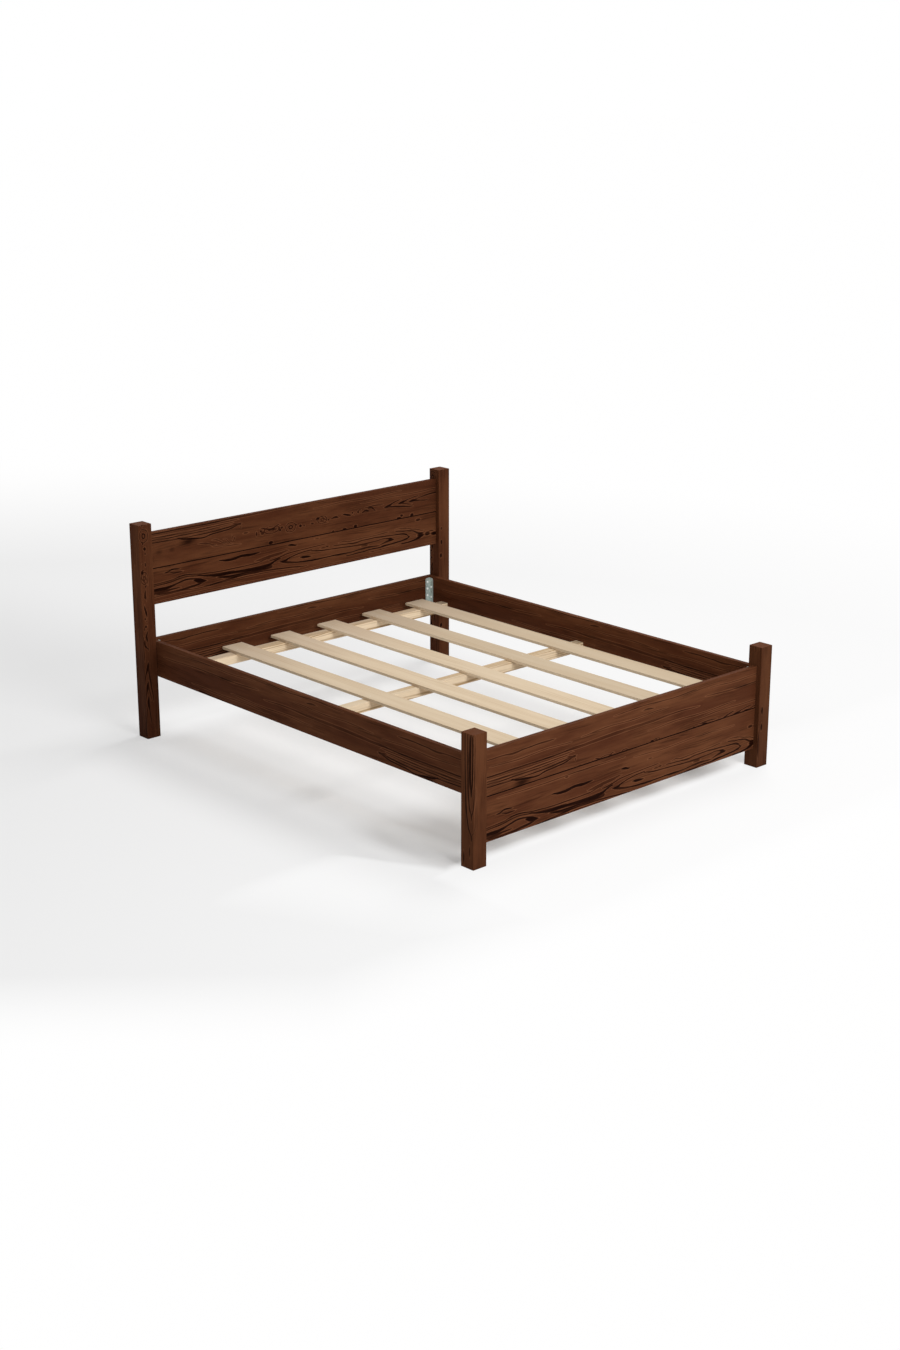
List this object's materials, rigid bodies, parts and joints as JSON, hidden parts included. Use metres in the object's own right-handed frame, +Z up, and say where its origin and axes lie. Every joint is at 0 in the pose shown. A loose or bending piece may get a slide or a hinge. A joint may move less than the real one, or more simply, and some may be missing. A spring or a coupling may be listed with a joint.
{
  "type": "double bed frame",
  "caption": "Pine double bed frame with a plank headboard and footboard, side rails on angle brackets and long slats on cross bars.",
  "frame": {"origin": "on the floor, under the middle of the bed's bounding box", "axes": "+Z up, +Y towards the head of the bed, +X to the right of someone standing at the foot and looking at the head"},
  "size_m": [1.778, 2.089, 0.951],
  "materials": {
    "stained_pine": "dark stained, satin",
    "plain_pine": "planed, untreated",
    "zinc_steel": "galvanised sheet, dull"
  },
  "bodies": {
    "root": {"bar_bracket_1_left": "zinc_steel", "bar_bracket_1_right": "zinc_steel", "bar_bracket_2_left": "zinc_steel", "bar_bracket_2_right": "zinc_steel", "bar_bracket_3_left": "zinc_steel", "bar_bracket_3_right": "zinc_steel", "corner_bracket_foot_left": "zinc_steel", "corner_bracket_foot_right": "zinc_steel", "corner_bracket_head_left": "zinc_steel", "corner_bracket_head_right": "zinc_steel", "cross_bar_1": "plain_pine", "cross_bar_2": "plain_pine", "cross_bar_3": "plain_pine", "foot_post_left": "stained_pine", "foot_post_right": "stained_pine", "footboard_lower_plank": "stained_pine", "footboard_upper_plank": "stained_pine", "head_post_left": "stained_pine", "head_post_right": "stained_pine", "head_rail": "stained_pine", "headboard_lower_plank": "stained_pine", "headboard_upper_plank": "stained_pine", "side_rail_left": "stained_pine", "side_rail_right": "stained_pine", "slat_1": "plain_pine", "slat_2": "plain_pine", "slat_3": "plain_pine", "slat_4": "plain_pine", "slat_5": "plain_pine", "slat_6": "plain_pine"}
  },
  "joints": []
}
